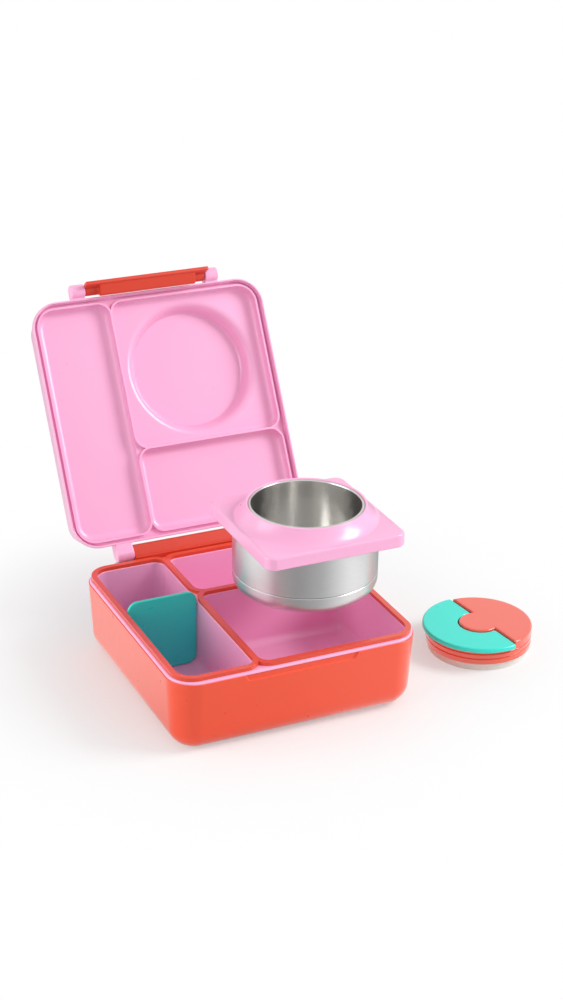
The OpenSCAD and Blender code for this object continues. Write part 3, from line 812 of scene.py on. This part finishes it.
def brushed_group():
    """Steel brushed on a lathe: fine rings in gloss, colour and height about one axis."""
    group, given, result = surface_group("lathe_brushing", Gloss=0.3)
    place = node(group, "ShaderNodeTexCoord")
    centred = node(group, "ShaderNodeMapping", Location=(-jar_x * mm, -jar_y * mm, 0))
    split = node(group, "ShaderNodeSeparateXYZ")
    group.links.new(place.outputs["Object"], centred.inputs["Vector"])
    group.links.new(centred.outputs[0], split.inputs[0])
    x, y, z = split.outputs
    squares = [math_of(group, "MULTIPLY", value, value) for value in (x, y)]
    radius = math_of(group, "SQRT", math_of(group, "ADD", *squares))
    around = math_of(group, "MULTIPLY", math_of(group, "ARCTAN2", y, x), 0.004)
    rings = node(group, "ShaderNodeCombineXYZ")
    for value, socket in zip((around, radius, z), rings.inputs):
        group.links.new(value, socket)
    lines = noise(group, rings.outputs[0], 2600, 4)
    bands = math_of(group, "SUBTRACT", noise(group, rings.outputs[0], 220, 3), 0.5)
    shade = math_of(group, "ADD", math_of(group, "MULTIPLY", lines, 0.14), 0.93)
    give(group, given, result, shade, math_of(group, "MULTIPLY", bands, 0.06), lines, 0.35, 0.00002)
    return group


lathe_brushing = brushed_group()


def steel_material(name, colour, gloss):
    """Satin stainless steel with lathe brushing."""
    shading = {"Metallic": 1.0, "Anisotropic": 0.8, "Anisotropic Rotation": 0.25}
    material, shader = surface_material(name, lathe_brushing, colour, shading, Gloss=gloss)
    tree = material.node_tree
    along = node(tree, "ShaderNodeTangent", direction_type="RADIAL", axis="Z")
    tree.links.new(along.outputs[0], shader.inputs["Tangent"])
    return material


satin_steel = steel_material("satin_steel", steel, 0.3)
bowl_steel = steel_material("bowl_steel", (0.68, 0.67, 0.65, 1), 0.24)

neck_r = hole_r - 0.2
neck_in = neck_r - steel_wall
wall_in = jar_r - steel_wall
neck_lip = neck_top - 1.4
outer_wall = turned("jar_wall", [
    (jar_r - 0.4, seam_z + 0.2), (jar_r, seam_z + 0.6), (jar_r, shoulder_z - 0.8),
    (jar_r - 0.3, shoulder_z - 0.2), (jar_r - 0.8, shoulder_z), (neck_r, shoulder_z),
    (neck_r, neck_lip), (neck_in, neck_lip), (neck_in, shoulder_z - steel_wall),
    (wall_in, shoulder_z - steel_wall), (wall_in, seam_z + 0.2), (jar_r - 0.4, seam_z + 0.2),
], (jar_x, jar_y))
dress(outer_wall, satin_steel)
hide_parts("jar_outer_wall")
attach(outer_wall, "jar")


def dish(radius, foot_r, low, lip):
    """Profile of an open dish: out and up its outside, over its lip and back down inside."""
    bend = (radius - foot_r, low + foot_r)
    return ([(0, low)] + arc(*bend, foot_r, 270, 360, 10) + lip
            + arc(*bend, foot_r - steel_wall, 360, 270, 10) + [(0, low + steel_wall)])


seam = [(jar_r, seam_z - 0.3), (jar_r - 0.3, seam_z), (wall_in, seam_z)]
base_cap = turned("jar_base", dish(jar_r, base_r, jar_floor, seam), (jar_x, jar_y))
dress(base_cap, satin_steel)
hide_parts("jar_base_cap")
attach(base_cap, "jar")

bowl_low, bowl_high = corners("jar_inner_bowl")
bowl_top = bowl_high[2]
bowl_r = neck_in - 0.3
bowl_foot = 12
lip_r = bowl_high[0] - jar_x
rolled_lip = [(bowl_r, bowl_top - 0.9), (lip_r - 0.3, bowl_top - 0.9), (lip_r, bowl_top - 0.6),
              (lip_r - 0.1, bowl_top - 0.2), (lip_r - 0.5, bowl_top), (bowl_r - 0.4, bowl_top),
              (bowl_r - steel_wall, bowl_top - 0.8)]
bowl = turned("jar_bowl", dish(bowl_r, bowl_foot, bowl_low[2], rolled_lip), (jar_x, jar_y))
dress(bowl, bowl_steel)
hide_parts("jar_inner_bowl")
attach(bowl, "jar")


# ---------------------------------------------------------------------------
# Jar lid: cap, sealing ring and flip grip
# A coral plastic cap with two grooves around its skirt, a beige silicone ring
# under it, and a teal half ring that folds up on two pins as a grip.
# ---------------------------------------------------------------------------
beige = (0.8, 0.75, 0.7, 1)
cap_turn = math.radians(6.5)
ring_low, ring_high = corners("jar_lid_ring")
cap_x = (ring_low[0] + ring_high[0]) / 2
cap_y = (ring_low[1] + ring_high[1]) / 2
cap_place = ((0, 0, cap_turn), (cap_x * mm, cap_y * mm, 0))
cap_r = 40
skirt_wall = 4.9
well_wall = 8
groove_heights = (4, 8)
cap_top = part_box("jar_lid_cap")[1][2] / mm
ring_h = ring_high[2]
ring_r = ring_high[0] - cap_x
grip_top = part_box("jar_lid_grip")[1][2] / mm
grip_t = 3.2
grip_out = 42.8
disc_r = 15
chord_x = 4.5
grip_gap = 0.8
grip_tip_r = 2.2
top_edge_r = 1.5
top_ring = 2.1
well_floor = grip_top - grip_t - 0.8


def groove(height, width=1.2, deep=0.8):
    """Profile points of one round groove in the skirt."""
    return [(cap_r, height), (cap_r - deep * 0.7, height + width * 0.2),
            (cap_r - deep, height + width / 2), (cap_r - deep * 0.7, height + width * 0.8),
            (cap_r, height + width)]


def sweep_points(radius, chord, left, clear=3):
    """Points of a circle on one side of a chord, with a clear length beside its ends."""
    limit = math.acos(chord / radius)
    start, end = (limit, math.tau - limit) if left else (-limit, limit)
    gap = clear / radius
    step = math.tau / 128
    angles = [i * step for i in range(-64, 128) if start + gap < i * step < end - gap]
    angles = [start] + angles + [end]
    return [(radius * math.cos(a), radius * math.sin(a)) for a in angles]


def drawn(name, points, height):
    """A flat face through points, in edit mode with the face selected and facing up."""
    piece = trace(name, [(x, y, height) for x, y in points])
    bpy.ops.mesh.edge_face_add()
    bpy.ops.mesh.select_all(action="SELECT")
    mesh = bmesh.from_edit_mesh(piece.data)
    if len(mesh.faces) > 1:
        bpy.ops.mesh.dissolve_faces()
    if sum(face.normal.z for face in mesh.faces) < 0:
        bpy.ops.mesh.flip_normals()
    return piece


def close_under(piece, height):
    """Closes the open underside of a piece that was drawn up from a height."""
    pick("EDGE", lambda e: len(e.link_faces) < 2 and is_level(e, height))
    bpy.ops.mesh.edge_face_add()
    bpy.ops.object.mode_set(mode="OBJECT")
    face_outwards(piece)


plug_r, skirt_in = ring_r - well_wall, ring_r - skirt_wall
cap_profile = [(0, ring_h + 4), (plug_r, ring_h + 4), (plug_r, 1), (skirt_in, 1),
               (skirt_in, ring_h + 0.1), (cap_r - 0.4, ring_h + 0.1), (cap_r, ring_h + 0.5)]
for height in groove_heights:
    cap_profile += groove(ring_h + height)
cap = turned("cap_moulding", cap_profile + [(cap_r, well_floor), (0, well_floor)], (0, 0))
raised_points = sweep_points(cap_r, chord_x, False) + sweep_points(disc_r, chord_x, True)
raised = drawn("cap_top", raised_points, well_floor)
follow([(0, well_floor)] + arc(top_edge_r, cap_top - top_edge_r, top_edge_r, 180, 90, 6)
       + [(top_ring, cap_top)])
close_under(raised, well_floor)
cap = join([cap, raised])
cap_plastic = moulded_material("cap_plastic", (0.88, 0.1, 0.05, 1), gloss=0.2, coat=1.0)
put(cap, *cap_place)
dress(cap, cap_plastic)
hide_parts("jar_lid_cap")
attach(cap, "jar_lid")

beige_silicone = moulded_material("beige_silicone", beige, gloss=0.5, coat=0.1, grain=0.3)
ring_in = ring_r - 4.8
ring_profile = [(ring_in, 0.4), (ring_r - 4.4, 0), (ring_r - 0.9, 0), (ring_r - 0.3, 0.3),
                (ring_r, 1), (ring_r, ring_h - 0.3), (ring_r - 0.3, ring_h), (ring_in, ring_h),
                (ring_in, 0.4)]
ring = turned("sealing_ring", ring_profile, (cap_x, cap_y))
dress(ring, beige_silicone)
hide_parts("jar_lid_ring")
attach(ring, "jar_lid")

grip_floor = grip_top - grip_t
grip_points = sweep_points(grip_out, chord_x - grip_gap, True)
grip_points += sweep_points(disc_r + grip_gap, chord_x - grip_gap, True)[::-1]
grip = drawn("flip_grip", grip_points, grip_floor)
pick("VERT", lambda v: abs(v.co.x - (chord_x - grip_gap) * mm) < same_point)
bpy.ops.mesh.bevel(offset=grip_tip_r * mm, segments=6, affect="VERTICES")
bpy.ops.mesh.select_all(action="SELECT")
follow([(0, grip_floor)] + arc(top_edge_r, grip_top - top_edge_r, top_edge_r, 180, 90, 6))
close_under(grip, grip_floor)
put(grip, *cap_place)
dress(grip, teal_plastic)
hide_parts("jar_lid_grip")
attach(grip, "grip")


# ---------------------------------------------------------------------------
# Lid cover
# A pink double-walled lid: its leaning outside with a round top edge, two arms
# that reach down to the hinge pin and two ears that carry the latch.
# ---------------------------------------------------------------------------
lid_open = joints["lid_hinge"]["range_deg"][1]
lid_z = rim_top + 0.4
lid_h = 40
lid_wall = 1.8
rim_wall = 1.2
rim_edge = 0.35
rebate_h = 3
lid_lip = 4
lid_lean = 5.4
lid_edge_r = 14.5
arm_in = 50.5
arm_wide = 13.5
arm_r = 6
ear_in = 49.6
ear_wide = 10.8
ear_r = 5.4
wall_overlap = 0.9
latch_y = -half_y - 6
latch_z = rim_top + 1.8


def swing(piece, pivot_y, pivot_z, degrees):
    """Turns a piece back about a line along X."""
    tilt = math.radians(degrees)
    y, z = pivot_y * mm, pivot_z * mm
    spot = (0, y - (y * math.cos(tilt) + z * math.sin(tilt)),
            z - (z * math.cos(tilt) - y * math.sin(tilt)))
    put(piece, (-tilt, 0, 0), spot)


def open_lid(piece):
    """Turns a piece that is drawn on the closed lid to the open rest position."""
    swing(piece, hinge_y, hinge_z, lid_open)


def across(name, points, x0, x1):
    """A block along X whose ends go through (y, z) points."""
    piece = trace(name, [(x0, *point) for point in points])
    bpy.ops.mesh.edge_face_add()
    bpy.ops.mesh.select_all(action="SELECT")
    bpy.ops.mesh.extrude_region_move(TRANSFORM_OT_translate={"value": ((x1 - x0) * mm, 0, 0)})
    bpy.ops.object.mode_set(mode="OBJECT")
    face_outwards(piece)
    return piece


pink_lid = moulded_material("pink_lid", pink)
ear_points = [(wall_overlap - half_y, latch_z + ear_r)] + arc(latch_y, latch_z, ear_r, 90, 345, 24)
ear_points.append((wall_overlap - half_y, lid_z))
lid_foot = lid_lean + lid_edge_r
lid_top = lid_z + lid_h
cover = outline("lid_shell", box_area, [corner_r] * 4, lid_z, 16)
follow([(0, lid_z), (0, lid_z + lid_lip)]
       + arc(lid_foot, lid_top - lid_edge_r, lid_edge_r, 180, 90, 12))
bpy.ops.object.mode_set(mode="OBJECT")
inside = outline("lid_inside", grown(box_area, -rim_wall), [corner_r - rim_wall] * 4, lid_z, 16)
follow([(0, lid_z), (0, lid_z + rebate_h), (lid_wall - rim_wall, lid_z + rebate_h),
        (lid_wall - rim_wall, lid_z + lid_lip)]
       + arc(lid_foot - rim_wall, lid_top - lid_edge_r, lid_edge_r - lid_wall, 180, 90, 12))
cover = join([cover, inside])
fill_level(cover, lid_z)
face_outwards(cover)
soften_rim(cover, lid_z, rim_edge, 3)
for side in (-1, 1):
    ends = sorted((side * arm_in, side * (arm_in + arm_wide)))
    arm = lug("arm", *ends, (hinge_y, hinge_z), arm_r, half_y - wall_overlap, lid_z + 0.3,
              hinge_z + arm_r, 1.2)
    combine(cover, arm, "UNION")
    ends = sorted((side * ear_in, side * (ear_in + ear_wide)))
    ear = across("ear", ear_points, *ends)
    round_off(ear, 0.9, 4, 80)
    combine(cover, ear, "UNION")
open_lid(cover)
dress(cover, pink_lid)
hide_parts("lid_cover")
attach(cover, "lid")


# ---------------------------------------------------------------------------
# Lid liner
# The lid's pink inner face: three shallow panels with soft edges, a round
# recess over the jar, and thin ribs that press on the seal.
# ---------------------------------------------------------------------------
liner_z = seal_top + 0.3
rib_w = 1.4
rib_h = 3
rib_edge = 0.6
rib_merge = 0.05
rib_in = seal_land + seal_width / 2 - rib_w / 2
shelf_z = liner_z + rib_h
panel_z = liner_z + 9.2
recess_z = panel_z + 12
recess_r = 44
recess_mouth_r = 53.8
flare_r = 6.5
panel_r = {"long": 6, "back": 5.5, "square": 3.2}
liner_sheet = 1.2

edge = lid_wall + 0.5
parts = [outline("liner_sheet", grown(box_area, -edge), [corner_r - edge] * 4, shelf_z, 16)]
bpy.ops.mesh.delete(type="ONLY_FACE")
bpy.ops.object.mode_set(mode="OBJECT")
for space in spaces:
    pan = space_outline("panel_" + space, space, rib_in, shelf_z)
    soft = panel_r[space]
    follow([(0, shelf_z)] + arc(soft, panel_z - soft, soft, 180, 90, 10) + [(soft + 0.1, panel_z)])
    if space == "square":
        bpy.ops.mesh.delete(type="ONLY_FACE")
    bpy.ops.object.mode_set(mode="OBJECT")
    parts.append(pan)
flare = arc(recess_mouth_r, panel_z + flare_r, flare_r, 270, 195, 15)
recess = turned("recess", flare + [(recess_r + 1.9, recess_z - 2), (recess_r + 1.5, recess_z - 1.7),
                                   (recess_r + 0.5, recess_z - 0.3), (recess_r, recess_z)],
                (jar_x, jar_y))
bpy.ops.object.mode_set(mode="EDIT")
pick("EDGE", lambda e: len(e.link_faces) == 1 and e.verts[0].co.z > (recess_z - 0.1) * mm)
bpy.ops.mesh.edge_face_add()
bpy.ops.object.mode_set(mode="OBJECT")
parts.append(recess)
liner = join(parts)
fill_level(liner, shelf_z)
fill_level(liner, panel_z)
face_outwards(liner)
down = sum(f.normal.z * f.area for f in liner.data.polygons)
modify(liner, "SOLIDIFY", thickness=liner_sheet * mm, offset=1 if down > 0 else -1)
face_outwards(liner)
open_lid(liner)
dress(liner, pink_lid)
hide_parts("lid_liner")
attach(liner, "lid")

ribs = bead("liner_ribs", rib_in, rib_w, liner_z, shelf_z + 0.3)
soften_rim(ribs, liner_z, rib_edge, 4)
face_outwards(ribs, rib_merge)
open_lid(ribs)
dress(ribs, pink_lid)
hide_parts("lid_liner")
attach(ribs, "lid")


# ---------------------------------------------------------------------------
# Latch
# A red plastic plate that swings on two pins between the lid's ears, with a
# block behind it that hooks into the pocket under the rim of the base.
# ---------------------------------------------------------------------------
latch_rest = 8
latch_long = 12.8
latch_t = 3
latch_face = 3.1
lip_side = 1.2
lip_long = 6.8
knuckle_r = 4.2
hook_half = 39.4
plate_half = ear_in - 0.3
plate_y = latch_y - latch_face
latch_low = latch_z - latch_long
hook_y = -half_y + 1.15
nib_z = shell_top - 0.3

latch = bar("latch_moulding", (-plate_half, plate_y, latch_low + 1),
            (plate_half, plate_y + latch_t, latch_z), 0)
lip_half = plate_half + lip_side
lip = bar("latch_lip", (-lip_half, plate_y, latch_low),
          (lip_half, plate_y + latch_t, latch_low + lip_long), 0)
combine(latch, lip, "UNION")
round_off(latch, 0.8, 4, 50)
combine(latch, rod("knuckle", -plate_half, plate_half, (latch_y, latch_z), knuckle_r, 0.7), "UNION")
hook_points = [(latch_y - 0.3, latch_low + 1.2), (hook_y, latch_low + 5.9), (hook_y, nib_z),
               (-half_y - 0.6, nib_z), (-half_y - 0.6, latch_z - 1), (latch_y - 0.3, latch_z - 1)]
hook = across("hook", hook_points, -hook_half, hook_half)
round_off(hook, 0.5, 3, 30)
combine(latch, hook, "UNION")
modify(latch, "REMESH", mode="VOXEL", voxel_size=0.4 * mm)
modify(latch, "SMOOTH", factor=0.5, iterations=3)
swing(latch, latch_y, latch_z, latch_rest)
open_lid(latch)
dress(latch, red_plastic)
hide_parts("latch_plate")
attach(latch, "latch")


# ---------------------------------------------------------------------------
# Pins
# Plain ground steel pins that carry the hinge, the handle, the latch and the
# jar lid's grip. They are pressed in, with only their ends near the surface.
# ---------------------------------------------------------------------------
pin_steel = steel_material("pin_steel", steel, 0.22)
for name in ("hinge_pin", "handle_pins", "latch_pins", "grip_pins"):
    pin = frame["nodes"][name]
    pin.data.materials.clear()
    pin.data.materials.append(pin_steel)
